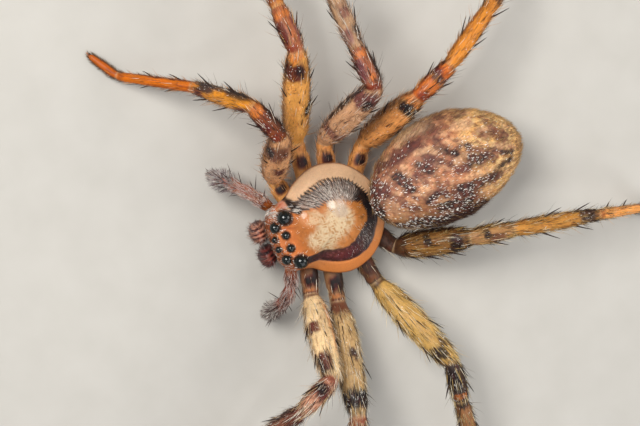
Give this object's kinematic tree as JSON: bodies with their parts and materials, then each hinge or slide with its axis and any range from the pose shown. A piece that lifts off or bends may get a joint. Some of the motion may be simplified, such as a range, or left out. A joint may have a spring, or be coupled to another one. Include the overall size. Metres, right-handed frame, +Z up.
{
  "type": "spider",
  "caption": "Life-size still model of a small hairy crab-footed spider with banded legs held out sideways, a domed pale-rimmed carapace and an egg-shaped mottled abdomen.",
  "frame": {"origin": "centre of the bounding box at floor level", "axes": "+Z up from the floor, the spider faces -Y, its right side is towards -X"},
  "size_m": [0.0374, 0.0258, 0.0065],
  "materials": {
    "carapace": "satin",
    "abdomen": "matte, hairy",
    "chelicera": "hairy",
    "fang": "gloss",
    "eye": "gloss",
    "palp": "hairy",
    "coxa": "satin",
    "femur": "satin, hairy",
    "patella": "satin, hairy",
    "tibia": "satin, hairy",
    "foot": "satin, hairy",
    "spinneret": "matte"
  },
  "bodies": {
    "root": {"carapace": "carapace", "sternum": "coxa", "pedicel": "coxa", "abdomen": "abdomen", "chelicera_right": "chelicera", "fang_right": "fang", "palp_right": "palp", "spinneret_right": "spinneret", "eye_lateral_rear_right": "eye", "eye_lateral_front_right": "eye", "eye_middle_rear_right": "eye", "eye_middle_front_right": "eye", "chelicera_left": "chelicera", "fang_left": "fang", "palp_left": "palp", "spinneret_left": "spinneret", "eye_lateral_rear_left": "eye", "eye_lateral_front_left": "eye", "eye_middle_rear_left": "eye", "eye_middle_front_left": "eye", "coxa_right_1": "coxa", "femur_right_1": "femur", "patella_right_1": "patella", "tibia_right_1": "tibia", "foot_right_1": "foot", "coxa_right_2": "coxa", "femur_right_2": "femur", "patella_right_2": "patella", "tibia_right_2": "tibia", "foot_right_2": "foot", "coxa_right_3": "coxa", "femur_right_3": "femur", "patella_right_3": "patella", "tibia_right_3": "tibia", "foot_right_3": "foot", "coxa_right_4": "coxa", "femur_right_4": "femur", "patella_right_4": "patella", "tibia_right_4": "tibia", "foot_right_4": "foot", "coxa_left_1": "coxa", "femur_left_1": "femur", "patella_left_1": "patella", "tibia_left_1": "tibia", "foot_left_1": "foot", "coxa_left_2": "coxa", "femur_left_2": "femur", "patella_left_2": "patella", "tibia_left_2": "tibia", "foot_left_2": "foot", "coxa_left_3": "coxa", "femur_left_3": "femur", "patella_left_3": "patella", "tibia_left_3": "tibia", "foot_left_3": "foot", "coxa_left_4": "coxa", "femur_left_4": "femur", "patella_left_4": "patella", "tibia_left_4": "tibia", "foot_left_4": "foot"}
  },
  "joints": []
}
